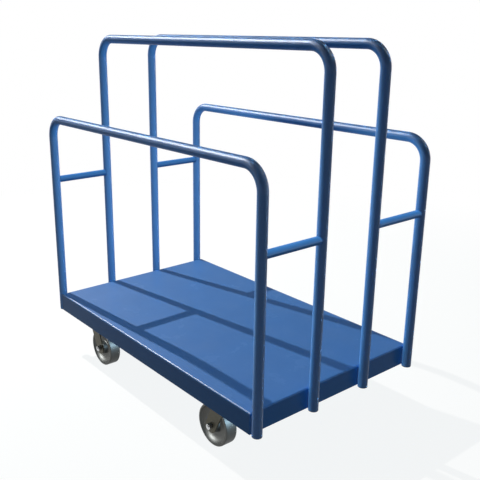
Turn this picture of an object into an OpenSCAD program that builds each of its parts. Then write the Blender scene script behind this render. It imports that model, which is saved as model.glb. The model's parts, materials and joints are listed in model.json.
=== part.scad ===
// Drywall cart: a folded steel deck on four swivel casters, with four bent tube rails
// that hold sheets on edge in three slots.
// X runs along the deck from left to right, Y runs across it from front to rear, and Z
// is up from the floor, where z = 0 lies under the middle of the deck.

/* [Deck] */
// Length of the deck
deck_length = 1219; // [1000:1:1500]
// Width of the deck
deck_width = 762; // [650:1:900]
// Depth of the turned-down skirt, from the top of the deck
skirt_depth = 73; // [64:1:80]
// Thickness of the deck sheet
deck_sheet = 3; // [2:0.5:4]
// Inside radius of the bend between deck and skirt
deck_bend = 2.5; // [1:0.5:5]
// Depth of the channels welded under the deck
channel_depth = 59; // [52:1:64]
// Width of a cross channel
channel_width = 130; // [124:1:150]
// Thickness of the channel sheet
channel_sheet = 4; // [3:0.5:5]
// Inside radius of the channel bends
channel_bend = 2; // [1:0.5:3]
// Width of the middle channel that joins the cross channels
spine_width = 80; // [60:1:120]

/* [Rails] */
// Outside diameter of the rail tube
tube_od = 33.7; // [30:0.1:40]
// Wall of the rail tube
tube_wall = 2.6; // [2:0.1:4]
// Bend radius of the rails, on the centre line
rail_bend = 74; // [60:1:110]
// Height of the two outer rails above the deck
outer_rail_height = 768; // [650:1:900]
// Height of the two inner rails above the deck
inner_rail_height = 1075; // [950:1:1250]
// Distance from the side of the deck to the centre of an outer rail
rail_inset = 15; // [12:0.5:40]
// Outside diameter of a tie bar
tie_od = 26.9; // [21:0.1:30]
// Wall of a tie bar
tie_wall = 2.3; // [1.6:0.1:3]
// Height of the tie bars above the deck
tie_height = 500; // [400:1:560]
// Thickness of a plug's head below the end of its leg
plug_head = 2.5; // [2.2:0.1:4]
// Radius of the rounded edge of a plug's head
plug_edge = 2; // [1:0.1:2]
// Length of a plug's stem inside its leg
plug_stem = 18; // [12:0.5:30]
// Wall of a plug's hollow stem
plug_wall = 2; // [1.5:0.1:3]
// Clearance between a plug's stem and its leg
plug_play = 0.1; // [0.05:0.05:0.2]
// Gap between leg and skirt at the root of a weld bead
weld_root = 1.2; // [0.8:0.1:2]
// Radius of a weld bead
weld_bead = 4; // [3:0.5:5]

/* [Wheels] */
// Diameter of a wheel
wheel_d = 150; // [140:1:170]
// Width of the tread
tread_width = 46; // [40:1:50]
// Radius of the rounded edge of the tread
tread_edge = 4; // [2:0.5:6]
// Width of the flat lip round the side of the rim
rim_lip = 3; // [2:0.5:5]
// Radius of the bowl that rises from the web to the lip
dish_radius = 32; // [30:0.5:34]
// Thickness of the web between rim and hub
web_thickness = 12; // [8:1:16]
// Radius of the fillets between web and hub
web_fillet = 5; // [2:0.5:5]
// Length of the hub
hub_length = 48; // [46:0.5:49]
// Diameter of the hub at its end faces
hub_d = 48; // [44:1:54]
// Draft of the hub, as growth in radius from its end to the web
hub_draft = 3; // [1:0.5:4]
// Chamfer on the ends of the hub
hub_chamfer = 1.5; // [0.5:0.5:2]
// Outside diameter of the axle sleeve
sleeve_d = 20; // [18:0.5:22]
// Diameter of a bearing roller
roller_d = 5; // [4:0.5:6]
// Number of rollers in a wheel
roller_count = 13; // [10:1:14]
// Clearance on each side of a roller
roller_play = 0.05; // [0.03:0.01:0.08]
// Clearance between the hub and a thrust washer
hub_play = 0.3; // [0.2:0.05:0.4]
// Outside diameter of a thrust washer
thrust_d = 38; // [34:1:42]

/* [Casters] */
// Height from the top of the wheel to the top of the plate
caster_rise = 40; // [38:1:50]
// Distance from the end of the deck to the middle of a caster plate
caster_end_inset = 199.5; // [150:0.5:280]
// Distance from the side of the deck to the middle of a caster plate
caster_side_inset = 71; // [60:0.5:100]
// Distance from the kingpin of a caster to its axle
swivel_trail = 40; // [36:1:46]
// Length of a caster plate, along the deck
plate_length = 114; // [110:1:120]
// Width of a caster plate, across the deck
plate_width = 102; // [90:1:104]
// Thickness of a caster plate
plate_thickness = 6; // [5:0.5:8]
// Corner radius of a caster plate
plate_corner = 8; // [4:0.5:10]
// Distance between a plate's bolts, along the deck
bolt_span_x = 92; // [90:0.5:94]
// Distance between a plate's bolts, across the deck
bolt_span_y = 66.6; // [64:0.1:70]
// Space between the legs of a fork
fork_gap = 52; // [51:0.5:54]
// Thickness of the fork sheet
fork_sheet = 4; // [3:0.5:5]
// Inside radius of the bends of a fork
fork_bend = 4; // [2:0.5:5]
// Width of a fork at its shoulders
fork_shoulder = 60; // [54:1:66]
// Height of the straight sides of a fork's shoulders
fork_straight = 10; // [6:1:14]
// Step by which the arms of a fork fall inside its round end
fork_end_step = 0.5; // [0.3:0.1:1]
// Radius of a fork leg's end round the axle
fork_end = 25; // [20:0.5:28]
// Diameter of the axle bolt
axle_d = 12; // [10:0.5:13]
// Clearance round the axle bolt
axle_play = 0.15; // [0.1:0.05:0.2]

/* [Swivels] */
// Diameter of an upper bearing ball
upper_ball_d = 8; // [7:0.5:9]
// Radius of the circle of upper balls
upper_race = 27; // [26:0.5:28]
// Number of upper balls
upper_ball_count = 16; // [12:1:17]
// Diameter of a lower bearing ball
lower_ball_d = 6; // [5:0.5:6]
// Radius of the circle of lower balls
lower_race = 17; // [16:0.5:18]
// Number of lower balls
lower_ball_count = 14; // [10:1:15]
// Clearance between a ball and its race
ball_play = 0.1; // [0.05:0.05:0.15]
// Gap between two race faces, shared by the balls
race_gap = 2; // [1.5:0.5:3]
// Depth of the race that is pressed into the plate
race_drop = 5; // [4:0.5:6]
// Thickness of the crown of the fork
crown_thickness = 10; // [9:0.5:11]
// Height of the crown above the shoulders of the fork
crown_step = 4; // [3:0.5:5]
// Metal outside the balls in a race
race_rim = 3; // [2:0.5:4]
// Thickness of the lower cup
cup_thickness = 7; // [6:0.5:8]
// Diameter of the kingpin
kingpin_d = 14; // [12:0.5:16]
// Clearance between the kingpin and the crown
kingpin_play = 0.1; // [0.05:0.01:0.1]
// Diameter of the kingpin's flush head
kingpin_head_d = 24; // [20:0.5:28]
// Height of the kingpin's nut
kingpin_nut_height = 8; // [7:0.5:9]
// Width across the flats of the kingpin's nut
kingpin_nut_af = 22; // [20:0.5:24]
// Length of kingpin that shows past its nut
kingpin_tail = 1.5; // [0.5:0.5:2]

/* [Fasteners] */
// Diameter of a plate bolt
bolt_d = 10; // [8:0.5:10]
// Width across the flats of a plate bolt and its nut
bolt_af = 17; // [15:0.5:17]
// Height of a plate bolt's head
bolt_head = 6.4; // [5:0.1:6.4]
// Clearance round a plate bolt in its holes
bolt_play = 0.5; // [0.3:0.1:0.8]
// Thickness of a lock washer
lock_washer = 2.5; // [1.5:0.1:2.5]
// Width of the split in a lock washer
washer_split = 2; // [1:0.5:3]
// Height of a weld nut
weld_nut = 8; // [6:0.5:10]
// Length of bolt that shows past its nut
bolt_tail = 2; // [1:0.5:4]
// Chamfer on the end of a bolt
bolt_point = 1; // [0.5:0.1:1]
// Clearance between a nut and its bolt
thread_play = 0.05; // [0.03:0.01:0.08]
// Width across the flats of the axle bolt and nut
axle_af = 19; // [17:0.5:21]
// Height of the axle bolt's head
axle_head = 7.5; // [6:0.5:9]
// Height of the axle nut
axle_nut = 12; // [10:0.5:14]

/* [Hidden] */
$fn = 64;
cut = 2;
// Flat end of a turned hexagon, as a share of its width, and the slope of its turned corners
hex_flat = 0.95;
hex_slope = 30;
// Slant of the split in a lock washer
split_slant = 20;
blue = [0.16, 0.35, 0.62];
zinc = [0.55, 0.53, 0.45];
iron = [0.62, 0.64, 0.65];
steel = [0.74, 0.75, 0.77];
black = [0.12, 0.13, 0.15];

front = -1;
rear = 1;
left = -1;
right = 1;

// Heights of the stack from the floor to the deck
axle_z = wheel_d / 2;
plate_top = wheel_d + caster_rise;
plate_bottom = plate_top - plate_thickness;
channel_top = plate_top + channel_depth;
deck_top = channel_top + deck_sheet;
skirt_bottom = deck_top - skirt_depth;

// Places of rails and casters on the deck
leg_x = deck_length / 2 + tube_od / 2;
outer_rail_y = deck_width / 2 - rail_inset;
inner_rail_y = outer_rail_y / 3;
tie_z = deck_top + tie_height;
caster_x = deck_length / 2 - caster_end_inset;
caster_y = deck_width / 2 - caster_side_inset;
plug_stem_r = tube_od / 2 - tube_wall - plug_play;

// Sizes inside a wheel
wheel_r = wheel_d / 2;
sleeve_r = sleeve_d / 2;
roller_circle = sleeve_r + roller_play + roller_d / 2;
wheel_bore = sleeve_r + roller_d + 2 * roller_play;
thrust_washer = (fork_gap - hub_length) / 2 - hub_play;
fork_width = fork_gap + 2 * fork_sheet;
axle_hole = axle_d / 2 + axle_play;

// Heights inside a swivel caster, from its plate down
race_bottom = plate_bottom - race_drop;
upper_ball_z = race_bottom - race_gap / 2;
crown_top = race_bottom - race_gap;
crown_bottom = crown_top - crown_thickness;
lower_ball_z = crown_bottom - race_gap / 2;
cup_top = crown_bottom - race_gap;
cup_bottom = cup_top - cup_thickness;
kingpin_end = cup_bottom - kingpin_nut_height - kingpin_tail;
crown_r = upper_race + upper_ball_d / 2 + race_rim;
cup_r = lower_race + lower_ball_d / 2 + race_rim;

// Outline of a folded sheet or block seen end on, with its top edge at y = 0
module folded_outline(width, depth, radius) {
    translate([-width / 2, -depth])
        square([width, depth - radius]);
    translate([radius - width / 2, -depth])
        square([width - 2 * radius, depth]);
    for (s = [-1, 1])
        translate([s * (width / 2 - radius), -radius])
            circle(radius);
}

// Outline of a U that is folded from sheet, open at the bottom
module u_outline(width, depth, sheet, bend) {
    difference() {
        folded_outline(width, depth, bend + sheet);
        translate([0, -sheet])
            folded_outline(width - 2 * sheet, depth, bend);
    }
}

module extrude_along_x(length) {
    rotate([90, 0, 90])
        linear_extrude(height = length, center = true)
            children();
}

module extrude_along_y(length) {
    rotate([90, 0, 0])
        linear_extrude(height = length, center = true)
            children();
}

// Block with its top edges rounded on all four sides
module pan_block(length, width, depth, radius) {
    intersection() {
        extrude_along_x(length)
            folded_outline(width, depth, radius);
        extrude_along_y(width)
            folded_outline(length, depth, radius);
    }
}

module deck_pan() {
    color(blue)
        translate([0, 0, deck_top])
            difference() {
                pan_block(deck_length, deck_width, skirt_depth, deck_bend + deck_sheet);
                translate([0, 0, -deck_sheet])
                    pan_block(deck_length - 2 * deck_sheet, deck_width - 2 * deck_sheet,
                              skirt_depth, deck_bend);
            }
}

// Channel with its web down, so that its two edges meet the deck
module channel_outline(width) {
    mirror([0, 1])
        u_outline(width, channel_depth, channel_sheet, channel_bend);
}

module at_plate_bolts() {
    for (x = [-1, 1], y = [-1, 1])
        translate([x * bolt_span_x / 2, y * bolt_span_y / 2, 0])
            children();
}

module cross_channel(end) {
    length = deck_width - 2 * (deck_sheet + deck_bend);
    color(blue)
        difference() {
            translate([end * caster_x, 0, plate_top])
                extrude_along_y(length)
                    channel_outline(channel_width);
            for (side = [front, rear])
                translate([end * caster_x, side * caster_y, plate_top - cut])
                    at_plate_bolts()
                        cylinder(h = channel_sheet + 2 * cut, r = bolt_d / 2 + bolt_play);
        }
}

module deck_spine() {
    color(blue)
        translate([0, 0, plate_top])
            extrude_along_x(2 * caster_x - channel_width)
                channel_outline(spine_width);
}

// One bent rail as a solid of the given radius, from its feet up to its centre line height
module rail_solid(radius, centre_z, foot_z) {
    bend_z = centre_z - rail_bend;
    bend_x = leg_x - rail_bend;
    for (s = [0, 1])
        mirror([s, 0, 0]) {
            translate([leg_x, 0, foot_z])
                cylinder(h = bend_z - foot_z, r = radius);
            translate([bend_x, 0, bend_z])
                rotate([90, 0, 0])
                    rotate_extrude(angle = 90)
                        translate([rail_bend, 0])
                            circle(radius);
        }
    translate([0, 0, centre_z])
        rotate([0, 90, 0])
            cylinder(h = 2 * bend_x, r = radius, center = true);
}

module rail(y, height) {
    centre_z = deck_top + height - tube_od / 2;
    color(blue)
        translate([0, y, 0])
            difference() {
                rail_solid(tube_od / 2, centre_z, skirt_bottom);
                rail_solid(tube_od / 2 - tube_wall, centre_z, skirt_bottom - cut);
            }
}

// Bar between an outer and an inner leg, with both ends coped to fit round the legs
module tie_bar(side, end) {
    span = outer_rail_y - inner_rail_y;
    color(blue)
        translate([end * leg_x, side * (outer_rail_y + inner_rail_y) / 2, tie_z])
            difference() {
                rotate([90, 0, 0])
                    cylinder(h = span, r = tie_od / 2, center = true);
                rotate([90, 0, 0])
                    cylinder(h = span + 2 * cut, r = tie_od / 2 - tie_wall, center = true);
                for (s = [-1, 1])
                    translate([0, s * span / 2, 0])
                        cylinder(h = tube_od, r = tube_od / 2, center = true);
            }
}

module at_legs() {
    for (end = [left, right], y = [outer_rail_y, inner_rail_y], side = [front, rear])
        translate([end * leg_x, side * y, 0])
            mirror([end > 0 ? 0 : 1, 0, 0])
                children();
}

// Hollow plug that closes the open foot of a leg
module leg_plugs() {
    head_r = tube_od / 2;
    color(black)
        at_legs()
            translate([0, 0, skirt_bottom])
                rotate_extrude() {
                    translate([0, -plug_head])
                        square([head_r - plug_edge, plug_head]);
                    intersection() {
                        translate([0, -plug_head])
                            square([head_r, plug_head]);
                        translate([head_r - plug_edge, plug_edge - plug_head])
                            circle(plug_edge);
                    }
                    translate([head_r - plug_edge, plug_edge - plug_head])
                        square([plug_edge, plug_head - plug_edge]);
                    translate([plug_stem_r - plug_wall, -plug_head / 2])
                        square([plug_wall, plug_stem + plug_head / 2]);
                }
}

// Two beads that join each leg to the end skirt, one on either side of the line of contact
module leg_welds() {
    leg_r = tube_od / 2;
    flat_height = skirt_depth - deck_bend - deck_sheet;
    bead_y = sqrt(leg_r * leg_r - pow(leg_r - weld_root, 2)) + weld_bead / 2;
    color(blue)
        at_legs()
            for (s = [-1, 1])
                translate([0, 0, skirt_bottom + weld_bead])
                    linear_extrude(height = flat_height - 2 * weld_bead)
                        difference() {
                            translate([-leg_r, s * bead_y])
                                intersection() {
                                    circle(weld_bead);
                                    translate([0, -weld_bead])
                                        square(2 * weld_bead);
                                }
                            circle(leg_r);
                        }
}

// Places a caster's pieces, with its wheel trailing towards the middle of the cart and its
// axle nut on the outer side
module at_caster(side, end) {
    translate([end * caster_x, side * caster_y, 0])
        mirror([end < 0 ? 1 : 0, 0, 0])
            mirror([0, side > 0 ? 1 : 0, 0])
                children();
}

module at_all_casters() {
    for (end = [left, right], side = [front, rear])
        at_caster(side, end)
            children();
}

module hexagon(af, height) {
    cylinder(h = height, r = af / sqrt(3), $fn = 6);
}

// Cone that turns the corners off the foot of a hexagon
module corner_cone(af, height) {
    flat_r = hex_flat * af / 2;
    cylinder(h = height, r1 = flat_r, r2 = flat_r + height / tan(hex_slope));
}

// Bolt with its hexagon head at the foot and its end chamfered
module hex_bolt(af, head, diameter, shank) {
    intersection() {
        hexagon(af, head);
        corner_cone(af, head);
    }
    cylinder(h = head + shank - bolt_point, r = diameter / 2);
    translate([0, 0, head + shank - bolt_point])
        cylinder(h = bolt_point, r1 = diameter / 2, r2 = diameter / 2 - bolt_point);
}

// Nut with the corners turned off both its ends
module hex_nut(af, height, diameter) {
    difference() {
        intersection() {
            hexagon(af, height);
            corner_cone(af, height);
            translate([0, 0, height])
                mirror([0, 0, 1])
                    corner_cone(af, height);
        }
        translate([0, 0, -cut])
            cylinder(h = height + 2 * cut, r = diameter / 2 + thread_play);
    }
}

module caster_bolts() {
    shank = lock_washer + plate_thickness + channel_sheet + weld_nut + bolt_tail;
    color(steel)
        at_all_casters()
            at_plate_bolts()
                translate([0, 0, plate_bottom - lock_washer - bolt_head])
                    rotate(30)
                        hex_bolt(bolt_af, bolt_head, bolt_d, shank);
}

module caster_lock_washers() {
    color(steel)
        at_all_casters()
            at_plate_bolts()
                translate([0, 0, plate_bottom - lock_washer / 2])
                    difference() {
                        cylinder(h = lock_washer, r = bolt_af / 2, center = true);
                        cylinder(h = lock_washer + 2 * cut, r = bolt_d / 2 + thread_play, center = true);
                        translate([bolt_af / 2, 0, 0])
                            rotate([split_slant, 0, 0])
                                cube([bolt_af, washer_split, 2 * lock_washer], center = true);
                    }
}

module caster_weld_nuts() {
    color(steel)
        at_all_casters()
            at_plate_bolts()
                translate([0, 0, plate_top + channel_sheet])
                    rotate(30)
                        hex_nut(bolt_af, weld_nut, bolt_d);
}

// Caster plate with its corners rounded and its bolt holes drilled
module plate_blank() {
    translate([0, 0, plate_bottom])
        difference() {
            linear_extrude(height = plate_thickness) {
                square([plate_length - 2 * plate_corner, plate_width], center = true);
                square([plate_length, plate_width - 2 * plate_corner], center = true);
                for (x = [-1, 1], y = [-1, 1])
                    translate([x * (plate_length / 2 - plate_corner),
                               y * (plate_width / 2 - plate_corner)])
                        circle(plate_corner);
            }
            translate([0, 0, -cut])
                at_plate_bolts()
                    cylinder(h = plate_thickness + 2 * cut, r = bolt_d / 2 + bolt_play);
        }
}

// Point where a line from p touches a circle, on the side given by the sign of turn
function tangent_point(p, centre, radius, turn) =
    let (
        reach = norm(centre - p),
        angle = atan2(centre.y - p.y, centre.x - p.x) + turn * asin(radius / reach)
    )
    p + sqrt(reach * reach - radius * radius) * [cos(angle), sin(angle)];

// Side view of a fork: straight shoulders under the kingpin, then arms that lean back to a
// round end at the axle. The arms aim a little inside that end, so they meet it at an angle.
module fork_side(top_z) {
    half = fork_shoulder / 2;
    low = top_z - fork_straight;
    axle = [-swivel_trail, axle_z];
    aim = fork_end - fork_end_step;
    polygon([
        [-half, low], [-half, top_z], [half, top_z], [half, low],
        tangent_point([half, low], axle, aim, 1),
        axle,
        tangent_point([-half, low], axle, aim, -1)
    ]);
    translate(axle)
        circle(fork_end);
}

// Fork that is folded from sheet, with a hole for the axle bolt through both legs
module fork_blank(top_z) {
    difference() {
        intersection() {
            translate([0, 0, top_z])
                extrude_along_x(2 * (fork_shoulder + swivel_trail))
                    u_outline(fork_width, top_z, fork_sheet, fork_bend);
            extrude_along_y(fork_width + 2 * cut)
                fork_side(top_z);
        }
        translate([-swivel_trail, 0, axle_z])
            rotate([90, 0, 0])
                cylinder(h = fork_width + 2 * cut, r = axle_hole, center = true);
    }
}

// Ring groove that a circle of balls runs in
module ball_groove(race, ball_d) {
    rotate_extrude()
        translate([race, 0])
            circle(ball_d / 2 + ball_play);
}

module ball_set(race, ball_d, count) {
    for (i = [0 : count - 1])
        rotate(i * 360 / count)
            translate([race, 0, 0])
                sphere(d = ball_d);
}

// Kingpin shape, grown by play to make the hole that it passes through
module kingpin_solid(bottom_z, play) {
    head_depth = (kingpin_head_d - kingpin_d) / 2;
    translate([0, 0, bottom_z])
        cylinder(h = plate_top - bottom_z, r = kingpin_d / 2 + play);
    translate([0, 0, plate_top - head_depth])
        cylinder(h = head_depth, r1 = kingpin_d / 2 + play, r2 = kingpin_head_d / 2 + play);
}

module caster_plate(side, end) {
    color(zinc)
        at_caster(side, end)
            difference() {
                union() {
                    plate_blank();
                    translate([0, 0, race_bottom])
                        cylinder(h = race_drop, r = crown_r);
                }
                translate([0, 0, upper_ball_z])
                    ball_groove(upper_race, upper_ball_d);
                kingpin_solid(race_bottom - cut, thread_play);
            }
}

module kingpins() {
    color(steel)
        at_all_casters()
            kingpin_solid(kingpin_end, 0);
}

module kingpin_nuts() {
    color(steel)
        at_all_casters()
            translate([0, 0, cup_bottom - kingpin_nut_height])
                hex_nut(kingpin_nut_af, kingpin_nut_height, kingpin_d);
}

module lower_cups() {
    color(zinc)
        at_all_casters()
            difference() {
                translate([0, 0, cup_bottom])
                    cylinder(h = cup_thickness, r = cup_r);
                translate([0, 0, lower_ball_z])
                    ball_groove(lower_race, lower_ball_d);
                translate([0, 0, cup_bottom - cut])
                    cylinder(h = cup_thickness + 2 * cut, r = kingpin_d / 2 + thread_play);
            }
}

module upper_balls() {
    color(steel)
        at_all_casters()
            translate([0, 0, upper_ball_z])
                ball_set(upper_race, upper_ball_d, upper_ball_count);
}

module lower_balls() {
    color(steel)
        at_all_casters()
            translate([0, 0, lower_ball_z])
                ball_set(lower_race, lower_ball_d, lower_ball_count);
}

module fork(side, end) {
    color(zinc)
        at_caster(side, end)
            difference() {
                union() {
                    fork_blank(crown_top - crown_step);
                    translate([0, 0, crown_bottom])
                        cylinder(h = crown_thickness, r = crown_r);
                }
                translate([0, 0, upper_ball_z])
                    ball_groove(upper_race, upper_ball_d);
                translate([0, 0, lower_ball_z])
                    ball_groove(lower_race, lower_ball_d);
                translate([0, 0, crown_bottom - cut])
                    cylinder(h = crown_thickness + 2 * cut, r = kingpin_d / 2 + kingpin_play);
            }
}

// Turns what is drawn round Z so that it lies along the axle of a caster
module on_axle(side, end) {
    at_caster(side, end)
        translate([-swivel_trail, 0, axle_z])
            rotate([90, 0, 0])
                children();
}

// Half of a wheel's section is a hub with drafted walls, a web with a fillet at the hub, and a
// rim with a rounded tread, whose sides are hollowed by a bowl up to the lip
module wheel_section() {
    half_tread = tread_width / 2;
    half_web = web_thickness / 2;
    half_hub = hub_length / 2;
    hub_r = hub_d / 2;
    foot_r = hub_r + hub_draft;
    lip_r = wheel_r - tread_edge - rim_lip;
    bowl_y = half_web + dish_radius;
    bowl_r = lip_r - sqrt(pow(dish_radius, 2) - pow(bowl_y - half_tread, 2));
    polygon([
        [wheel_bore, -half_hub], [hub_r - hub_chamfer, -half_hub], [hub_r, hub_chamfer - half_hub],
        [foot_r, -half_web], [foot_r, half_web],
        [hub_r, half_hub - hub_chamfer], [hub_r - hub_chamfer, half_hub], [wheel_bore, half_hub]
    ]);
    translate([wheel_bore, -half_web])
        square([bowl_r - wheel_bore, web_thickness]);
    for (s = [0, 1])
        mirror([0, s])
            hub_fillet([foot_r, half_web], [hub_r, half_hub - hub_chamfer]);
    difference() {
        union() {
            translate([bowl_r, -half_tread])
                square([wheel_r - tread_edge - bowl_r, tread_width]);
            translate([bowl_r, tread_edge - half_tread])
                square([wheel_r - bowl_r, tread_width - 2 * tread_edge]);
            for (s = [-1, 1])
                translate([wheel_r - tread_edge, s * (half_tread - tread_edge)])
                    circle(tread_edge);
        }
        for (s = [-1, 1])
            translate([bowl_r, s * bowl_y])
                circle(dish_radius);
    }
}

// Metal that fills the corner between the web and a hub wall that runs from foot to top
module hub_fillet(foot, top) {
    wall = (top - foot) / norm(top - foot);
    back = web_fillet * tan((180 - acos(wall.x)) / 2);
    centre = foot + [back, web_fillet];
    difference() {
        polygon([foot, foot + [back, 0], centre, foot + back * wall]);
        translate(centre)
            circle(web_fillet);
    }
}

module wheel(side, end) {
    color(iron)
        on_axle(side, end)
            rotate_extrude()
                wheel_section();
}

module rollers(side, end) {
    color(steel)
        on_axle(side, end)
            for (i = [0 : roller_count - 1])
                rotate(i * 360 / roller_count)
                    translate([roller_circle, 0, 0])
                        cylinder(h = hub_length, r = roller_d / 2, center = true);
}

module sleeve(side, end) {
    color(steel)
        on_axle(side, end)
            difference() {
                cylinder(h = fork_gap, r = sleeve_r, center = true);
                cylinder(h = fork_gap + 2 * cut, r = axle_hole, center = true);
            }
}

// Bolt with its head on the inner leg, long enough to pass through its nut on the outer leg
module axle_bolt(side, end) {
    color(steel)
        on_axle(side, end)
            translate([0, 0, -fork_width / 2 - axle_head])
                hex_bolt(axle_af, axle_head, axle_d, fork_width + axle_nut + bolt_tail);
}

module axle_nut(side, end) {
    color(steel)
        on_axle(side, end)
            translate([0, 0, fork_width / 2])
                hex_nut(axle_af, axle_nut, axle_d);
}

module thrust_washers(side, end) {
    color(steel)
        on_axle(side, end)
            for (s = [0, 1])
                mirror([0, 0, s])
                    translate([0, 0, fork_gap / 2 - thrust_washer])
                        difference() {
                            cylinder(h = thrust_washer, r = thrust_d / 2);
                            translate([0, 0, -cut])
                                cylinder(h = thrust_washer + 2 * cut, r = sleeve_r + thread_play);
                        }
}

deck_pan();
cross_channel(left);  // left_channel
cross_channel(right);  // right_channel
deck_spine();
rail(front * outer_rail_y, outer_rail_height);  // front_outer_rail
rail(front * inner_rail_y, inner_rail_height);  // front_inner_rail
rail(rear * inner_rail_y, inner_rail_height);  // rear_inner_rail
rail(rear * outer_rail_y, outer_rail_height);  // rear_outer_rail
tie_bar(front, left);  // front_left_tie
tie_bar(front, right);  // front_right_tie
tie_bar(rear, left);  // rear_left_tie
tie_bar(rear, right);  // rear_right_tie
leg_plugs();
leg_welds();
caster_bolts();
caster_lock_washers();
caster_weld_nuts();
kingpins();
kingpin_nuts();
lower_cups();
upper_balls();
lower_balls();
caster_plate(front, left);  // front_left_plate
caster_plate(front, right);  // front_right_plate
caster_plate(rear, left);  // rear_left_plate
caster_plate(rear, right);  // rear_right_plate
fork(front, left);  // front_left_fork
fork(front, right);  // front_right_fork
fork(rear, left);  // rear_left_fork
fork(rear, right);  // rear_right_fork
wheel(front, left);  // front_left_wheel
wheel(front, right);  // front_right_wheel
wheel(rear, left);  // rear_left_wheel
wheel(rear, right);  // rear_right_wheel
rollers(front, left);  // front_left_rollers
rollers(front, right);  // front_right_rollers
rollers(rear, left);  // rear_left_rollers
rollers(rear, right);  // rear_right_rollers
sleeve(front, left);  // front_left_sleeve
sleeve(front, right);  // front_right_sleeve
sleeve(rear, left);  // rear_left_sleeve
sleeve(rear, right);  // rear_right_sleeve
axle_bolt(front, left);  // front_left_axle_bolt
axle_bolt(front, right);  // front_right_axle_bolt
axle_bolt(rear, left);  // rear_left_axle_bolt
axle_bolt(rear, right);  // rear_right_axle_bolt
axle_nut(front, left);  // front_left_axle_nut
axle_nut(front, right);  // front_right_axle_nut
axle_nut(rear, left);  // rear_left_axle_nut
axle_nut(rear, right);  // rear_right_axle_nut
thrust_washers(front, left);  // front_left_thrust_washers
thrust_washers(front, right);  // front_right_thrust_washers
thrust_washers(rear, left);  // rear_left_thrust_washers
thrust_washers(rear, right);  // rear_right_thrust_washers
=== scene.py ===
# %% [markdown]
# # Dressing a drywall cart
# The cart comes in as finished solids at their real size: a folded deck, bent rails, tie bars and
# four swivel casters down to the bearing balls. What is left to do here is what a solid can't say:
# how the powder coat, the plating and the turned iron look, where the welder's beads lie, and how
# light falls on all of it. Nothing that came in is moved or resized.

# %% Load the cart's solids
import json
import math

import bpy
from mathutils import Matrix, Vector


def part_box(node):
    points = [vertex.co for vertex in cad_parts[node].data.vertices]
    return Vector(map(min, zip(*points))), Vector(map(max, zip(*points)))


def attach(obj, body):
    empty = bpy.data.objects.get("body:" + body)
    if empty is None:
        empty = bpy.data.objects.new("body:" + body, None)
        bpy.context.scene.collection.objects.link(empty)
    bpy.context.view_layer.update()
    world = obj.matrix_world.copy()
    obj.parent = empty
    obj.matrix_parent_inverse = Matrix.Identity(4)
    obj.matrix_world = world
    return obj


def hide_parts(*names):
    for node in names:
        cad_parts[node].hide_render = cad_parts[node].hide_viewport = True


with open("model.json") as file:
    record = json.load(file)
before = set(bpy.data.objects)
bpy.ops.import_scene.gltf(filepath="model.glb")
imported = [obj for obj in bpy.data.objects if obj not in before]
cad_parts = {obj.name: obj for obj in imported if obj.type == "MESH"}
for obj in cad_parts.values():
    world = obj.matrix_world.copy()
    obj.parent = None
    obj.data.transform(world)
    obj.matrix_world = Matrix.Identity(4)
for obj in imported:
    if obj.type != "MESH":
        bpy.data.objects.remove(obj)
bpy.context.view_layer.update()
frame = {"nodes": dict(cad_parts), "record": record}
nodes = frame["nodes"]
mm = 0.001

# %% [markdown]
# ## The camera
# A product photo has a real camera behind it, and its place can be worked out from the deck's four
# corners and the rails' straight legs. The lens is given in image pixels, as such a fit gives it,
# and turned into millimetres on Blender's 36 mm sensor. The optical axis isn't in the middle of the
# picture, which the camera's shift takes care of.

# %% Place the camera
photo_width = 480
focal_pixels = 686.06
axis_pixel_x = 205.31
axis_pixel_y = 233.78
camera_place = Vector((1.9473, -1.6006, 1.3619))
camera_heading = math.radians(141.869)
camera_pitch = math.radians(-16.872)

camera_data = bpy.data.cameras.new("photo_camera")
camera_data.sensor_width = 36
camera_data.lens = focal_pixels / photo_width * camera_data.sensor_width
camera_data.shift_x = 0.5 - axis_pixel_x / photo_width
camera_data.shift_y = axis_pixel_y / photo_width - 0.5
camera = bpy.data.objects.new("photo_camera", camera_data)
camera.location = camera_place
camera.rotation_euler = (math.pi / 2 + camera_pitch, 0, camera_heading - math.pi / 2)
bpy.context.scene.collection.objects.link(camera)
bpy.context.scene.camera = camera
print("lens in mm:", round(camera_data.lens, 2))

# %% [markdown]
# ## A helper for shader nodes
# Every floor, lamp and finish below is a small tree of nodes. One helper adds a node, sets its
# options and fills its inputs, either with a value or with a link from another node's output.

# %% Add one shader node
def add_node(tree, kind, inputs=None, **options):
    """Adds one shader node, sets its options, and fills its inputs with values or links."""
    made = tree.nodes.new("ShaderNode" + kind)
    for name, value in options.items():
        setattr(made, name, value)
    for name, value in (inputs or {}).items():
        if isinstance(value, bpy.types.NodeSocket):
            tree.links.new(value, made.inputs[name])
        else:
            made.inputs[name].default_value = value
    return made


def seen_directly(tree):
    """Gives 1 for rays that look at a background: from the camera, a gloss or through glass."""
    rays = add_node(tree, "LightPath").outputs
    gloss = add_node(tree, "Math", {0: rays["Is Camera Ray"], 1: rays["Is Glossy Ray"]},
                     operation="MAXIMUM").outputs[0]
    return add_node(tree, "Math", {0: gloss, 1: rays["Is Transmission Ray"]},
                    operation="MAXIMUM").outputs[0]

# %% [markdown]
# ## Floor and surroundings
# The cart stands on a plain pale floor before a pale background. A white floor would throw so much
# light up at the cart that its skirts could no longer be dark, so the floor is pale only to rays
# that look at it, and gives little light back to the paint. A share of its own shading is kept, and
# with it the cart's shadow. The room is pale round the horizon and dim overhead, so that the
# glossy deck mirrors no white sky, and it fills the cart's dark sides less than it shows.

# %% Make the floor and the room
pale = 1.0
floor_side = 120
floor_bounce = 0.08
shadow_share = 0.15
shadow_near = 1.6
shadow_far = 3.6
room_dim = 0.10
room_fill = 0.5
band_top = 0.06
band_end = 0.14

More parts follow.
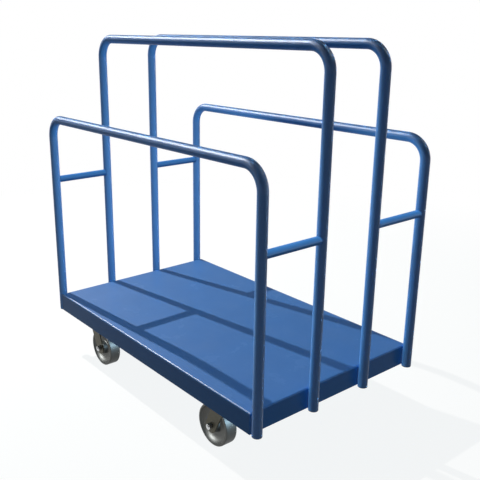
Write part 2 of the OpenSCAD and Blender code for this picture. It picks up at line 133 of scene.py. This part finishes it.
bpy.ops.object.select_all(action="DESELECT")
bpy.ops.mesh.primitive_plane_add(size=floor_side, location=(0, 0, 0))
floor = bpy.context.object
floor.name = "floor"

floor_material = bpy.data.materials.new("pale_floor")
floor_material.use_nodes = True
tree = floor_material.node_tree
tree.nodes.remove(tree.nodes["Principled BSDF"])
shaded = add_node(tree, "BsdfDiffuse", {"Color": (pale, pale, pale, 1)})
glow = add_node(tree, "Emission", {"Color": (pale, pale, pale, 1), "Strength": 1.0})
place = add_node(tree, "TexCoord").outputs["Object"]
away = add_node(tree, "VectorMath", {0: place}, operation="LENGTH").outputs["Value"]
share = add_node(tree, "MapRange", {"Value": away, "From Min": shadow_near, "From Max": shadow_far,
                                    "To Min": shadow_share, "To Max": 0.0},
                 interpolation_type="SMOOTHSTEP").outputs["Result"]
shown = add_node(tree, "MixShader", {0: share, 1: glow.outputs[0], 2: shaded.outputs[0]})
quiet = add_node(tree, "BsdfDiffuse", {"Color": (floor_bounce, floor_bounce, floor_bounce, 1)})
chosen = add_node(tree, "MixShader", {0: seen_directly(tree), 1: quiet.outputs[0], 2: shown.outputs[0]})
tree.links.new(chosen.outputs[0], tree.nodes["Material Output"].inputs["Surface"])
floor.data.materials.append(floor_material)

world = bpy.data.worlds.new("pale_room")
world.use_nodes = True
bpy.context.scene.world = world
tree = world.node_tree
upward = add_node(tree, "SeparateXYZ", {0: add_node(tree, "TexCoord").outputs["Generated"]}).outputs["Z"]
level = add_node(tree, "MapRange", {"Value": upward, "From Min": band_top, "From Max": band_end,
                                    "To Min": pale, "To Max": room_dim}, interpolation_type="SMOOTHSTEP")
fill = add_node(tree, "MapRange", {"Value": seen_directly(tree), "To Min": room_fill, "To Max": 1.0})
strength = add_node(tree, "Math", {0: level.outputs["Result"], 1: fill.outputs["Result"]},
                    operation="MULTIPLY")
tree.links.new(strength.outputs[0], tree.nodes["Background"].inputs["Strength"])
tree.nodes["Background"].inputs["Color"].default_value = (1, 1, 1, 1)
bpy.context.scene.view_settings.view_transform = "Standard"
print("floor and room made, pale at", pale)

# %% [markdown]
# ## Light
# The stripes on the deck are shadows of the left legs, the rails and a tie bar. They fan out from the
# left, so the main light is one small lamp nearby: lines from the shadows back over the legs that
# cast them meet about five metres from the deck. A lamp that small would draw a hard white line along
# every tube, so it only lights surfaces, and a twin in the same place gives the deck its gloss.

# %% Place the main lamp
def hang_lamp(name, kind, place, power, colour):
    """Adds one lamp to the scene, and gives its object."""
    lamp = bpy.data.objects.new(name, bpy.data.lights.new(name, kind))
    lamp.data.energy = power
    lamp.data.color = colour
    lamp.location = place
    bpy.context.scene.collection.objects.link(lamp)
    return lamp


key_place = Vector((-3.69, -0.59, 3.68))
key_radius = 20 * mm
key = hang_lamp("key_light", "POINT", key_place, power=930, colour=(1.0, 0.93, 0.85))
key.visible_glossy = False
deck_shine = hang_lamp("deck_shine", "POINT", key_place, power=950, colour=(1.0, 0.95, 0.92))
deck_shine.visible_diffuse = False
for lamp in (key, deck_shine):
    lamp.data.shadow_soft_size = key_radius
print("main lamp:", round(key_place.length, 2), "m away")

# %% [markdown]
# ### Soft light
# The rest of the light is soft and casts no shadow. It comes from three kinds of lamp. A far lamp
# is a sun: only its direction counts, and its spread says how large it looks. A panel has two sides,
# and a spot has a cone. One helper for each keeps the list of lamps short enough to read.

# %% Three kinds of soft lamp
far_away = 4
spot_fade = 0.6


def aim(lamp, direction):
    """Turns a lamp so that it shines along a direction."""
    lamp.rotation_euler = Vector(direction).to_track_quat("-Z", "Y").to_euler()


def far_lamp(name, source, power, colour, spread=8):
    """A distant lamp that shines from a direction. Its spread is in degrees."""
    lamp = hang_lamp(name, "SUN", Vector(source) * far_away, power, colour)
    lamp.data.angle = math.radians(spread)
    aim(lamp, -Vector(source))
    return lamp


def panel_lamp(name, place, direction, sides, power, colour):
    """A flat lamp with two sides in metres."""
    lamp = hang_lamp(name, "AREA", place, power, colour)
    lamp.data.shape = "RECTANGLE"
    lamp.data.size, lamp.data.size_y = sides
    aim(lamp, direction)
    return lamp


def spot_lamp(name, place, direction, cone, power, colour):
    """A lamp with a cone, given in degrees, that fades towards its edge."""
    lamp = hang_lamp(name, "SPOT", place, power, colour)
    lamp.data.spot_size = math.radians(cone)
    lamp.data.spot_blend = spot_fade
    aim(lamp, direction)
    return lamp

# %% [markdown]
# A ceiling and an echo of the main lamp fill in from above, and a panel on the deck stands for the
# light that the deck throws back up. Two spots between the legs, a side lamp and a back lamp round
# the tubes, as the screens round a photographer's table do. The tie bars lie across the tubes, so
# they have a lamp of their own at either end of the cart.

# %% Place the soft lamps
deck_low, deck_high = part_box("deck_pan")
deck_sides = deck_high - deck_low
above_deck = Vector((0, 0, deck_high.z + 5 * mm))
panel_share = 0.9
echo = far_lamp("key_echo", key_place.normalized(), power=0.35, colour=(0.70, 0.96, 1.0))
ceiling = far_lamp("ceiling_light", (0, 0.35, 0.94), power=0.95, colour=(0.48, 0.88, 1.0))
bounce = panel_lamp("deck_bounce", above_deck, (0, 0, 1), panel_share * deck_sides.xy,
                    power=0.9, colour=(0.86, 0.94, 1.0))
left_spot = spot_lamp("left_spot", (0.55, 0, 0.72), (-1, 0, 0), cone=76,
                      power=62, colour=(1.0, 0.74, 0.62))
right_spot = spot_lamp("right_spot", (-0.55, -0.8, 0.6), (0.79, 0.61, 0), cone=50,
                       power=94, colour=(1.0, 0.72, 0.56))
leg_side = far_lamp("leg_side", (-0.68, -0.63, 0.37), power=0.35, colour=(1.0, 0.95, 0.90))
back_light = far_lamp("back_light", (0.30, 0.95, 0.06), power=0.8, colour=(0.92, 0.96, 1.0))
tie_side = far_lamp("tie_side", (0.55, -0.1, 0.83), power=2.5, colour=(1.0, 0.90, 0.76))
tie_top = far_lamp("tie_top", (0.25, -0.1, 0.96), power=3.1, colour=(1.0, 0.88, 0.74))
fill_lamps = [ceiling, back_light, bounce, left_spot, right_spot, leg_side, tie_side, tie_top]
for lamp in fill_lamps:
    lamp.visible_glossy = False
print("soft lamps:", echo.name, *[lamp.name for lamp in fill_lamps])

# %% [markdown]
# ### Shine
# Round metal without anything bright to mirror looks like chalk. These lamps show in gloss alone: they
# draw the soft streak along the rails and the crescents in the dished wheels.

# %% Place the shine lamps
rail_shine = far_lamp("rail_shine", (-0.74, -0.31, 0.595), power=4.2, colour=(0.96, 0.96, 1.0),
                      spread=16)
back_shine = far_lamp("back_shine", (0.41, 0.54, 0.74), power=0.8, colour=(0.78, 0.89, 1.0))
front_shine = far_lamp("front_shine", (-0.40, -0.80, 0.44), power=8.5, colour=(0.96, 0.99, 1.0))
side_shine = far_lamp("side_shine", (0.77, 0.535, 0.35), power=6.5, colour=(0.52, 0.78, 1.0))
shine_lamps = [rail_shine, back_shine, front_shine, side_shine]
for lamp in shine_lamps:
    lamp.visible_diffuse = False
for lamp in [echo] + fill_lamps + shine_lamps:
    lamp.data.use_shadow = False
    lamp.visible_camera = False
print("shine lamps:", *[lamp.name for lamp in shine_lamps])

# %% [markdown]
# ### Which lamp lights what
# A photographer keeps light off a surface with black flags. Blender's light linking does the same: a
# lamp that has a collection of receivers lights only what is in it. So the lamps of the rails and the
# tie bars stay off the deck, and the deck's and the wheels' shine stays off the rails. All other lamps
# light everything.

# %% Keep each lamp to what it lights
def lit_group(name, belongs):
    """A collection of the solids whose names pass a test."""
    group = bpy.data.collections.new(name)
    for node, solid in nodes.items():
        if belongs(node):
            group.objects.link(solid)
    return group


rails = lit_group("rails", lambda node: node.endswith("_rail"))
left_ties = lit_group("left_ties", lambda node: node.endswith("_left_tie"))
right_ties = lit_group("right_ties", lambda node: node.endswith("_right_tie"))
wheels = lit_group("wheels", lambda node: node.endswith("_wheel"))
deck = lit_group("deck", lambda node: node == "deck_pan")
for group, lamps in ((rails, (left_spot, right_spot, leg_side, rail_shine, back_shine)),
                     (left_ties, (tie_side,)), (right_ties, (tie_top,)), (deck, (deck_shine,)),
                     (wheels, (front_shine, side_shine))):
    for lamp in lamps:
        lamp.light_linking.receiver_collection = group
    print("lamps for", group.name + ":", *[lamp.name for lamp in lamps])

# %% [markdown]
# ## Effects that several finishes share
# Powder coat, plating and turned iron differ in colour but share a few effects: a fine waviness,
# slow drifts of tone, rub marks, settled dust, and rings left by a lathe. Each is a node group,
# built once and placed in every finish that needs it with its own values. All of them read Object
# coordinates, so they stay on the metal when a caster turns.

# %% Start a node group
def new_group(name, inputs, outputs):
    """Starts a group of nodes with named number sockets. Inputs carry their usual value."""
    tree = bpy.data.node_groups.new(name, "ShaderNodeTree")
    for socket, value in inputs.items():
        made = tree.interface.new_socket(socket, in_out="INPUT", socket_type="NodeSocketFloat")
        made.default_value = value
    for socket in outputs:
        tree.interface.new_socket(socket, in_out="OUTPUT", socket_type="NodeSocketFloat")
    return tree, tree.nodes.new("NodeGroupInput").outputs, tree.nodes.new("NodeGroupOutput").inputs


def place_group(tree, group, **values):
    """Places a group in a material, with its own values, and gives its outputs."""
    made = tree.nodes.new("ShaderNodeGroup")
    made.node_tree = group
    for name, value in values.items():
        made.inputs[name].default_value = value
    return made.outputs


def noise(tree, vector, scale, detail=2.0, rough=0.5):
    """A noise texture's value."""
    return add_node(tree, "TexNoise", {"Vector": vector, "Scale": scale, "Detail": detail,
                                       "Roughness": rough}).outputs["Fac"]


def math_node(tree, operation, first, second=0.0, clamp=False):
    """One calculation with two numbers or links."""
    return add_node(tree, "Math", {0: first, 1: second}, operation=operation, use_clamp=clamp).outputs[0]


def steps(tree, value, low, high):
    """Turns a value smoothly from 0 at low to 1 at high."""
    return add_node(tree, "MapRange", {"Value": value, "From Min": low, "From Max": high},
                    interpolation_type="SMOOTHSTEP").outputs["Result"]

# %% [markdown]
# ### Coat waviness and tone
# Powder flows out in the oven to a skin that is glossy but never quite flat: it has the fine waves
# of orange peel, a few millimetres across, and its tone drifts a little over a hand's breadth.

# %% Group: coat skin
coat_skin, given, made = new_group("coat_skin", {"Wave Size": 3 * mm}, ["Height", "Tone"])
place = add_node(coat_skin, "TexCoord").outputs["Object"]
pinholes_per_wave = 4.0
pinhole_share = 0.15
waves = math_node(coat_skin, "DIVIDE", 1.0, given["Wave Size"])
peel = noise(coat_skin, place, waves, detail=1.5, rough=0.4)
dense = math_node(coat_skin, "MULTIPLY", waves, pinholes_per_wave)
pinholes = noise(coat_skin, place, dense, detail=1.0)
height = math_node(coat_skin, "ADD", peel, math_node(coat_skin, "MULTIPLY", pinholes, pinhole_share))
coat_skin.links.new(height, made["Height"])
coat_skin.links.new(noise(coat_skin, place, scale=7.0, detail=4.0, rough=0.55), made["Tone"])
print("group:", coat_skin.name)

# %% [markdown]
# ### Rub marks
# Sheets are slid on and off along the deck, so its marks are long fine streaks in X, in patches.
# The noise is stretched by a Mapping node until its grains become scratches.

# %% Group: rub marks
rub_marks, given, made = new_group("rub_marks", {"Amount": 0.5}, ["Mask"])
place = add_node(rub_marks, "TexCoord").outputs["Object"]
height_scale = 60.0
masks = []
for turn, length_scale, width_scale in ((0.5, 2.2, 420.0), (-2.0, 3.5, 650.0)):
    along = add_node(rub_marks, "Mapping", {"Vector": place, "Rotation": (0, 0, math.radians(turn)),
                                            "Scale": (length_scale, width_scale, height_scale)})
    grains = noise(rub_marks, along.outputs[0], scale=1.0, detail=3.0, rough=0.6)
    masks.append(steps(rub_marks, grains, low=0.60, high=0.78))
streaks = math_node(rub_marks, "MAXIMUM", *masks)
patches = steps(rub_marks, noise(rub_marks, place, scale=4.0, detail=3.0, rough=0.6), low=0.42, high=0.68)
worn = math_node(rub_marks, "MULTIPLY", streaks, patches)
rub_marks.links.new(math_node(rub_marks, "MULTIPLY", worn, given["Amount"], clamp=True), made["Mask"])
print("group:", rub_marks.name)

# %% [markdown]
# ### Settled dust
# Plaster dust lies on what faces up, thicker in soft patches. The piece's own normal says which
# way a face looks.

# %% Group: settled dust
settled_dust, given, made = new_group("settled_dust", {"Amount": 0.2}, ["Mask"])
coordinates = add_node(settled_dust, "TexCoord").outputs
facing = add_node(settled_dust, "SeparateXYZ", {0: coordinates["Normal"]}).outputs["Z"]
upward = steps(settled_dust, facing, low=0.55, high=1.0)
drifts = noise(settled_dust, coordinates["Object"], scale=9.0, detail=6.0, rough=0.65)
clouds = steps(settled_dust, drifts, low=0.35, high=0.8)
specks = noise(settled_dust, coordinates["Object"], scale=900.0)
lying = math_node(settled_dust, "MULTIPLY", math_node(settled_dust, "MULTIPLY", clouds, specks), upward)
left = math_node(settled_dust, "MULTIPLY", lying, given["Amount"], clamp=True)
settled_dust.links.new(left, made["Mask"])
print("group:", settled_dust.name)

# %% [markdown]
# ### Lathe rings
# A turned face carries rings about its axle, and a turned tread carries them side by side along its
# width. Both come from one noise over two measures: the distance from the axle, and the place
# along it. The wheels stand at the same distance on either side of the middle, so X is folded over.

# %% Group: lathe rings
wheel_low, wheel_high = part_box("front_right_wheel")
axle_x = (wheel_low.x + wheel_high.x) / 2
axle_z = (wheel_low.z + wheel_high.z) / 2
lathe_rings, given, made = new_group("lathe_rings", {"Lines Per Metre": 4000.0}, ["Height", "Shade"])
place = add_node(lathe_rings, "TexCoord").outputs["Object"]
parts = add_node(lathe_rings, "SeparateXYZ", {0: place}).outputs
away_x = math_node(lathe_rings, "SUBTRACT", math_node(lathe_rings, "ABSOLUTE", parts["X"]), axle_x)
away_z = math_node(lathe_rings, "SUBTRACT", parts["Z"], axle_z)
square = math_node(lathe_rings, "ADD", math_node(lathe_rings, "MULTIPLY", away_x, away_x),
                   math_node(lathe_rings, "MULTIPLY", away_z, away_z))
lines = given["Lines Per Metre"]
radius_lines = math_node(lathe_rings, "MULTIPLY", math_node(lathe_rings, "SQRT", square), lines)
width_lines = math_node(lathe_rings, "MULTIPLY", parts["Y"], lines)
turned = add_node(lathe_rings, "CombineXYZ", {"X": radius_lines, "Y": width_lines}).outputs[0]
rings = noise(lathe_rings, turned, scale=1.0)
broad = noise(lathe_rings, turned, scale=0.12)
lathe_rings.links.new(rings, made["Height"])
lathe_rings.links.new(math_node(lathe_rings, "MULTIPLY", rings, broad), made["Shade"])
print("group:", lathe_rings.name, "axle at", round(axle_x, 4), round(axle_z, 4))

# %% [markdown]
# ## Finishes
# Each finish is a function or a short cell of its own: it places the groups it needs and feeds
# them to one Principled shader. Values that are the same all over sit on the shader's own sockets.

# %% Start a finish
def new_finish(name):
    """A new material with its tree and its Principled shader's inputs."""
    material = bpy.data.materials.new(name)
    material.use_nodes = True
    return material, material.node_tree, material.node_tree.nodes["Principled BSDF"].inputs


def colour_mix(tree, share, first, second):
    """Mixes two colours by a share, on the colour sockets of a Mix node."""
    made = add_node(tree, "Mix", data_type="RGBA")
    for index, value in ((0, share), (6, first), (7, second)):
        if isinstance(value, bpy.types.NodeSocket):
            tree.links.new(value, made.inputs[index])
        else:
            made.inputs[index].default_value = value
    return made.outputs[2]


def between(tree, share, low, high):
    """A number that runs from low to high with a share."""
    return add_node(tree, "MapRange", {"Value": share, "To Min": low, "To Max": high}).outputs["Result"]


def bump(tree, height, distance):
    """A normal that is bent by a height. The distance is what a height of 1 stands for, in metres."""
    return add_node(tree, "Bump", {"Height": height, "Distance": distance, "Strength": 1.0}).outputs[0]

# %% [markdown]
# ### Blue powder coat
# One blue covers deck, rails and channels. The deck also carries rub marks and a little dust, so the
# finish is a function with those amounts as its values. In the oven the coat flows out best on what
# faces up, so a clear gloss lies there and fades towards the duller undersides.

# %% Finish: blue powder coat
coat_deep = (0.033, 0.156, 0.448, 1)
coat_light = (0.037, 0.166, 0.470, 1)
coat_rubbed = (0.200, 0.290, 0.500, 1)
dust_grey = (0.480, 0.490, 0.500, 1)
coat_ior = 1.85
peel_height = 0.03 * mm
gloss_drift = 0.05
worn_rough = 0.25


def blue_coat(name, rub, dust, gloss, shine, top_gloss=0.0, top_rough=0.5, top_from=0.0, top_to=0.6):
    """Blue powder coat: rub marks and dust, roughness, and the top gloss with the slopes it spans."""
    material, tree, shader = new_finish(name)
    skin = place_group(tree, coat_skin)
    facing = add_node(tree, "TexCoord").outputs["Normal"]
    slope = add_node(tree, "SeparateXYZ", {0: facing}).outputs["Z"]
    on_top = steps(tree, slope, low=0.0, high=0.6)
    rubbed = math_node(tree, "MULTIPLY", place_group(tree, rub_marks, Amount=rub)["Mask"], on_top)
    dusty = place_group(tree, settled_dust, Amount=dust)["Mask"]
    toned = colour_mix(tree, steps(tree, skin["Tone"], low=0.3, high=0.7), coat_deep, coat_light)
    marked = colour_mix(tree, rubbed, toned, coat_rubbed)
    tree.links.new(colour_mix(tree, dusty, marked, dust_grey), shader["Base Color"])
    uneven = between(tree, skin["Tone"], gloss - gloss_drift, gloss + gloss_drift)
    worn = math_node(tree, "MULTIPLY", math_node(tree, "MAXIMUM", rubbed, dusty), worn_rough)
    tree.links.new(math_node(tree, "ADD", uneven, worn), shader["Roughness"])
    tree.links.new(bump(tree, skin["Height"], peel_height), shader["Normal"])
    if top_gloss:
        flowed = steps(tree, slope, top_from, top_to)
        tree.links.new(math_node(tree, "MULTIPLY", flowed, top_gloss), shader["Coat Weight"])
    shader["Coat Roughness"].default_value = top_rough
    shader["Coat IOR"].default_value = coat_ior
    shader["Specular IOR Level"].default_value = shine
    return material


deck_coat = blue_coat("deck_coat", rub=0.12, dust=0.07, gloss=0.26, shine=0.05,
                      top_gloss=1.0, top_rough=0.45)
rail_coat = blue_coat("rail_coat", rub=0.06, dust=0.04, gloss=0.42, shine=0.08,
                      top_gloss=0.55, top_rough=0.46, top_from=-0.22, top_to=0.14)
under_coat = blue_coat("under_coat", rub=0.0, dust=0.0, gloss=0.40, shine=0.10)
print("blue coats:", deck_coat.name, rail_coat.name, under_coat.name)

# %% [markdown]
# ### Zinc plate
# The forks and plates are pressed steel with a yellowish zinc plate, which is dull and patchy:
# passivation leaves clouds of olive and grey with a fine grain.

# %% Finish: yellow zinc
zinc_olive = (0.056, 0.051, 0.032, 1)
zinc_grey = (0.080, 0.075, 0.054, 1)

yellow_zinc, tree, shader = new_finish("yellow_zinc")
place = add_node(tree, "TexCoord").outputs["Object"]
clouds = steps(tree, noise(tree, place, scale=45.0, detail=5.0, rough=0.6), low=0.35, high=0.65)
grain = noise(tree, place, scale=1400.0)
tree.links.new(colour_mix(tree, clouds, zinc_olive, zinc_grey), shader["Base Color"])
tree.links.new(between(tree, clouds, low=0.34, high=0.48), shader["Roughness"])
tree.links.new(bump(tree, grain, 0.02 * mm), shader["Normal"])
shader["Metallic"].default_value = 0.75
print("finish:", yellow_zinc.name)

# %% [markdown]
# ### Turned iron
# The wheels are bare cast iron, turned on a lathe. It is a dark grey metal that has lost its first
# brightness, so it shows broad soft highlights with faint rings in them and no clear mirror image.

# %% Finish: turned iron
iron_dark = (0.052, 0.052, 0.048, 1)
iron_bright = (0.105, 0.106, 0.102, 1)

turned_iron, tree, shader = new_finish("turned_iron")
rings = place_group(tree, lathe_rings)
cut = steps(tree, rings["Shade"], low=0.0, high=0.6)
tree.links.new(colour_mix(tree, cut, iron_dark, iron_bright), shader["Base Color"])
tree.links.new(between(tree, rings["Shade"], low=0.46, high=0.58), shader["Roughness"])
tree.links.new(bump(tree, rings["Height"], 0.01 * mm), shader["Normal"])
shader["Metallic"].default_value = 0.8
shader["Specular IOR Level"].default_value = 0.25
print("finish:", turned_iron.name)

# %% [markdown]
# ### Fasteners, bearings and plugs
# Bolts and nuts have a bright zinc with fine spots. Balls, rollers and sleeves are ground steel with
# a film of grease, and the plugs in the legs are moulded black plastic.

# %% Finish: bright zinc
zinc_spot = (0.50, 0.51, 0.52, 1)
zinc_bright = (0.68, 0.69, 0.70, 1)

bright_zinc, tree, shader = new_finish("bright_zinc")
place = add_node(tree, "TexCoord").outputs["Object"]
spots = noise(tree, place, scale=260.0, detail=4.0, rough=0.6)
tree.links.new(colour_mix(tree, spots, zinc_spot, zinc_bright), shader["Base Color"])
tree.links.new(between(tree, spots, low=0.22, high=0.38), shader["Roughness"])
shader["Metallic"].default_value = 1.0
print("finish:", bright_zinc.name)

# %% Finish: greased steel
steel_ground = (0.60, 0.61, 0.62, 1)
steel_grease = (0.30, 0.26, 0.18, 1)

greased_steel, tree, shader = new_finish("greased_steel")
place = add_node(tree, "TexCoord").outputs["Object"]
film = steps(tree, noise(tree, place, scale=120.0, detail=4.0, rough=0.6), low=0.4, high=0.7)
tree.links.new(colour_mix(tree, film, steel_ground, steel_grease), shader["Base Color"])
tree.links.new(between(tree, film, low=0.12, high=0.35), shader["Roughness"])
shader["Metallic"].default_value = 0.9
print("finish:", greased_steel.name)

# %% Finish: black plastic
plastic_black = (0.016, 0.020, 0.030, 1)
plastic_scuffed = (0.05, 0.055, 0.065, 1)

black_plastic, tree, shader = new_finish("black_plastic")
place = add_node(tree, "TexCoord").outputs["Object"]
pores = noise(tree, place, scale=1800.0)
scuffs = steps(tree, noise(tree, place, scale=130.0, detail=5.0, rough=0.65), low=0.5, high=0.75)
tree.links.new(colour_mix(tree, scuffs, plastic_black, plastic_scuffed), shader["Base Color"])
tree.links.new(between(tree, scuffs, low=0.42, high=0.62), shader["Roughness"])
tree.links.new(bump(tree, pores, 0.03 * mm), shader["Normal"])
print("finish:", black_plastic.name)

# %% [markdown]
# ## Dressing the solids
# The record says which slot each solid belongs to. Here every slot gets its finish, and the deck and
# the rails get the coat with their own wear.

# %% Give every solid its finish
slot_finish = {"blue_paint": under_coat, "zinc_plate": yellow_zinc, "fastener_steel": bright_zinc,
               "bearing_steel": greased_steel, "wheel_iron": turned_iron, "plug_plastic": black_plastic}
slot_of = {part["node"]: part["material_slot"] for part in frame["record"]["subparts"]}


def finish_for(name):
    """The finish of one solid: its slot's, or the coat of the deck or of the tubes."""
    if name == "deck_pan":
        return deck_coat
    if name.endswith("_rail") or name.endswith("_tie"):
        return rail_coat
    return slot_finish[slot_of[name]]


for name, solid in nodes.items():
    solid.data.materials.clear()
    solid.data.materials.append(finish_for(name))
print("dressed:", len(nodes))

# %% [markdown]
# ## Weld beads
# Legs, tie bars and channels are welded before the coat is sprayed, so their beads are blue as well.
# A bead is a row of small pools, each frozen half over the one before, like coins that lean. It could
# be a smooth tube with a bump texture, but the ripples then vanish at the outline. Here a leaning
# disc is drawn out in short steps that swell and shrink, and is cut flat where it lies in the sheet.

# %% Model one straight bead
ripple = 3 * mm
bead_lean = math.radians(25)
bead_corners = 12
bead_tip = 0.45
bead_waist = 0.84


def weld_bead(length, radius, sunk):
    """One bead along Z, which starts at the origin and is cut flat a little behind X = 0."""
    bpy.ops.object.select_all(action="DESELECT")
    bpy.ops.mesh.primitive_circle_add(vertices=bead_corners, radius=radius, fill_type="NGON",
                                      location=(0, 0, 0))
    bead = bpy.context.object
    bpy.ops.object.mode_set(mode="EDIT")
    bpy.ops.mesh.select_all(action="SELECT")
    bpy.ops.transform.rotate(value=bead_lean, orient_axis="Y", center_override=(0, 0, 0))
    bpy.ops.transform.resize(value=(bead_tip, bead_tip, bead_tip), center_override=(0, 0, 0))
    count = 2 * round(length / ripple)
    size = bead_tip
    for step in range(1, count + 1):
        goal = bead_tip if step == count else 1.0 if step % 2 else bead_waist
        height = length * step / count
        bpy.ops.mesh.extrude_region_move(TRANSFORM_OT_translate={"value": (0, 0, length / count)})
        grow = goal / size
        bpy.ops.transform.resize(value=(grow, grow, grow), center_override=(0, 0, height))
        size = goal
    bpy.ops.mesh.select_all(action="SELECT")
    bpy.ops.mesh.bisect(plane_co=(-sunk, 0, 0), plane_no=(1, 0, 0), use_fill=True, clear_inner=True)
    bpy.ops.mesh.select_all(action="SELECT")
    bpy.ops.mesh.remove_doubles(threshold=0.01 * mm)
    bpy.ops.mesh.normals_make_consistent(inside=False)
    bpy.ops.object.mode_set(mode="OBJECT")
    bpy.ops.object.shade_smooth_by_angle(angle=math.radians(60))
    return bead

# %% [markdown]
# One bead is modelled for each kind of joint and copied to every place of that kind. The copies are
# joined to one piece, so that a row of welds is one thing to pick and one thing to hide.

# %% Lay copies of a bead
def lay_beads(bead, name, places, finish):
    """Copies a bead to each place, joins the copies to one piece on the frame, and drops the first."""
    copies = []
    for place in places:
        bpy.ops.object.select_all(action="DESELECT")
        bead.select_set(True)
        bpy.context.view_layer.objects.active = bead
        bpy.ops.object.duplicate()
        copy = bpy.context.object
        copy.matrix_world = place
        bpy.ops.object.transform_apply(location=True, rotation=True, scale=True)
        copies.append(copy)
    bpy.ops.object.select_all(action="DESELECT")
    for copy in copies:
        copy.select_set(True)
    bpy.ops.object.join()
    piece = bpy.context.object
    piece.name = name
    piece.data.materials.clear()
    piece.data.materials.append(finish)
    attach(piece, "cart_frame")
    bpy.data.objects.remove(bead)
    print("beads laid:", name, len(copies), "polygons:", len(piece.data.polygons))
    return piece

# %% [markdown]
# ### Legs to skirts
# Each leg touches the end skirt along one line, and is held by a bead on either side of that line.
# The solids already hold a plain bead there, which says where the rippled one goes and which the
# rippled one stands for.

# %% Lay the leg beads
weld_low, weld_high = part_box("leg_welds")
rail_low, rail_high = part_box("front_outer_rail")
tube_r = (rail_high.y - rail_low.y) / 2
leg_x = rail_high.x - tube_r
leg_rows = []
for name in ("front_outer_rail", "front_inner_rail", "rear_inner_rail", "rear_outer_rail"):
    low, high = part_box(name)
    leg_rows.append((low.y + high.y) / 2)
skirt_x = deck_high.x
bead_r = weld_high.x - skirt_x
bead_side = weld_high.y - leg_rows[-1] - bead_r
bead = weld_bead(weld_high.z - weld_low.z, bead_r, sunk=1.5 * mm)
places = []
for row in leg_rows:
    for side in (-1, 1):
        for turn, end in ((0, 1), (math.pi, -1)):
            spot = Vector((end * skirt_x, row + side * bead_side, weld_low.z))
            places.append(Matrix.Translation(spot) @ Matrix.Rotation(turn, 4, "Z"))
leg_beads = lay_beads(bead, "leg_beads", places, rail_coat)
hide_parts("leg_welds")

# %% [markdown]
# ### Tie bars to legs
# A tie bar meets a leg at a right angle, so its bead is a ring that is bent over the leg like a
# saddle. It starts as a torus. Every slice of it is pushed along by as much as the leg's round side
# falls away there, and every other slice is made thinner for the ripples.

# %% Lay the tie rings
def pick_slice(piece, angle, width):
    """Selects the vertices of a ring in one slice at an angle about Z, and gives their centre."""
    bpy.ops.object.mode_set(mode="EDIT")
    bpy.ops.mesh.select_all(action="DESELECT")
    bpy.ops.object.mode_set(mode="OBJECT")
    ray = Vector((math.cos(angle), math.sin(angle), 0))
    chosen = [vertex for vertex in piece.data.vertices
              if ray.dot(vertex.co) > 0 and abs(ray.cross(vertex.co).z) < width / 3]
    for vertex in chosen:
        vertex.select = True
    bpy.ops.object.mode_set(mode="EDIT")
    return sum((vertex.co for vertex in chosen), Vector()) / len(chosen)


tie_low, tie_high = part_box("front_left_tie")
tie_r = (tie_high.z - tie_low.z) / 2
tie_z = (tie_high.z + tie_low.z) / 2
ring_bead = 1.3 * mm
ring_r = tie_r + 0.2 * mm
ring_corners = 10
slices = 2 * round(math.pi * ring_r / ripple)
bpy.ops.object.select_all(action="DESELECT")
bpy.ops.mesh.primitive_torus_add(major_segments=slices, minor_segments=ring_corners,
                                 major_radius=ring_r, minor_radius=ring_bead, location=(0, 0, 0))
ring = bpy.context.object
for index in range(slices):
    angle = 2 * math.pi * index / slices
    centre = pick_slice(ring, angle, 2 * math.pi * ring_r / slices)
    thin = 1.0 if index % 2 else bead_waist
    bpy.ops.transform.resize(value=(thin, thin, thin), center_override=centre)
    fall = tube_r - math.sqrt(tube_r ** 2 - centre.x ** 2)
    bpy.ops.transform.translate(value=(0, 0, fall - tube_r))
bpy.ops.mesh.select_all(action="SELECT")
bpy.ops.mesh.normals_make_consistent(inside=False)
bpy.ops.object.mode_set(mode="OBJECT")
bpy.ops.object.shade_smooth()
places = []
for end in (-1, 1):
    for row, towards in zip(leg_rows, (1, -1, 1, -1)):
        # The ring's own -Z points from the leg along the tie bar.
        across = Matrix(((1, 0, 0), (0, 0, -towards), (0, towards, 0))).to_4x4()
        places.append(Matrix.Translation((end * leg_x, row, tie_z)) @ across)
lay_beads(ring, "tie_rings", places, rail_coat)

# %% [markdown]
# ### Channels to deck
# Long beads would warp the thin deck, so the channels under it are stitched on with short beads and
# gaps between them. These lie in the corner below the deck, and are cut flat inside its sheet.

# %% Lay the stitch beads
stitch = 40 * mm
stitch_rows = (-0.30, -0.16, 0.16, 0.30)
stitch_columns = (-0.26, 0, 0.26)
channel_low, channel_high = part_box("right_channel")
spine_low, spine_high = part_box("deck_spine")
under_z = channel_high.z
bead = weld_bead(stitch, radius=3.5 * mm, sunk=1 * mm)
# The bead's own X, where it bulges, points down in both.
along_y = Matrix(((0, -1, 0), (0, 0, 1), (-1, 0, 0))).to_4x4()
along_x = Matrix(((0, 0, 1), (0, 1, 0), (-1, 0, 0))).to_4x4()
places = []
for end in (-1, 1):
    for wall_x in (channel_low.x, channel_high.x):
        for row in stitch_rows:
            places.append(Matrix.Translation((end * wall_x, row - stitch / 2, under_z)) @ along_y)
for wall_y in (spine_low.y, spine_high.y):
    for column in stitch_columns:
        places.append(Matrix.Translation((column - stitch / 2, wall_y, under_z)) @ along_x)
lay_beads(bead, "stitch_beads", places, under_coat)
